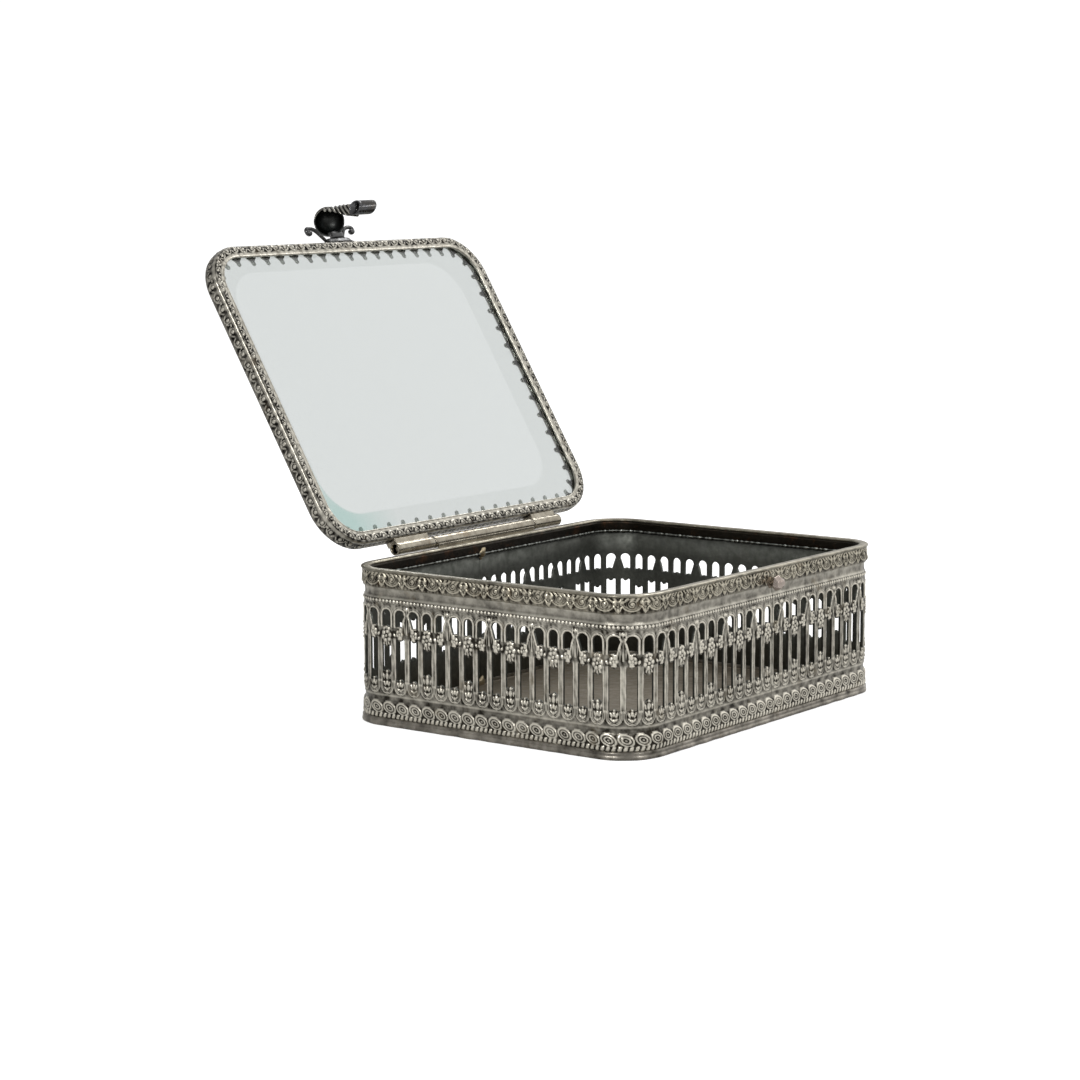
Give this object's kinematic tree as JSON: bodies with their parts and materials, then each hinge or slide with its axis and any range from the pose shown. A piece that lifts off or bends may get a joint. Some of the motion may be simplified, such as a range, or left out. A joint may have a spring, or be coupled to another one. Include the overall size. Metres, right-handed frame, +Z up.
{
  "type": "vanity trinket box",
  "caption": "Rectangular antique-silver trinket box with pierced gallery walls, hinged bevelled-glass lid in an embossed frame and a spring clasp over a front stud.",
  "frame": {"origin": "middle of the flat underside", "axes": "+Z up, +X along the hinge, front with the catch stud faces -Y, hinge at +Y"},
  "size_m": [0.132, 0.1722, 0.1475],
  "materials": {
    "pewter": "antique silver plate, satin, dark in the recesses",
    "lid_metal": "antique silver plate, bright on the high spots",
    "floor_metal": "dull tarnished sheet",
    "dark_inside": "blackened",
    "hinge_metal": "worn silver over brass, satin",
    "stud_metal": "faceted, worn",
    "prong_metal": "dull antique silver",
    "gunmetal": "dark oxidised, satin",
    "glass": "clear, bevelled, greenish edge"
  },
  "bodies": {
    "box": {"floor_plate": "floor_metal", "base_band": "pewter", "gallery_left": "pewter", "gallery_right": "pewter", "rim_moulding": "pewter", "rim_liner": "dark_inside", "catch_stud": "stud_metal", "hinge_knuckle_centre": "hinge_metal", "hinge_pin": "hinge_metal"},
    "lid": {"lid_frame": "lid_metal", "lid_glass": "glass", "prong_bezel": "prong_metal", "hinge_knuckle_left": "hinge_metal", "hinge_knuckle_right": "hinge_metal", "clasp_foot": "gunmetal", "clasp_scrolls": "gunmetal"},
    "clasp": {"clasp_shell": "gunmetal", "clasp_roll": "gunmetal"}
  },
  "joints": [
    {"name": "lid_hinge", "type": "hinge", "parent": "box", "child": "lid", "pos_m": [0, 0.053, 0.04635], "axis": [1, 0, 0], "range_deg": [0, 121.3]},
    {"name": "clasp_flex", "type": "hinge", "parent": "lid", "child": "clasp", "pos_m": [0, 0.1085, 0.13455], "axis": [-1, 0, 0], "range_deg": [0, 18], "stiffness_Nm_per_rad": 0.05}
  ]
}
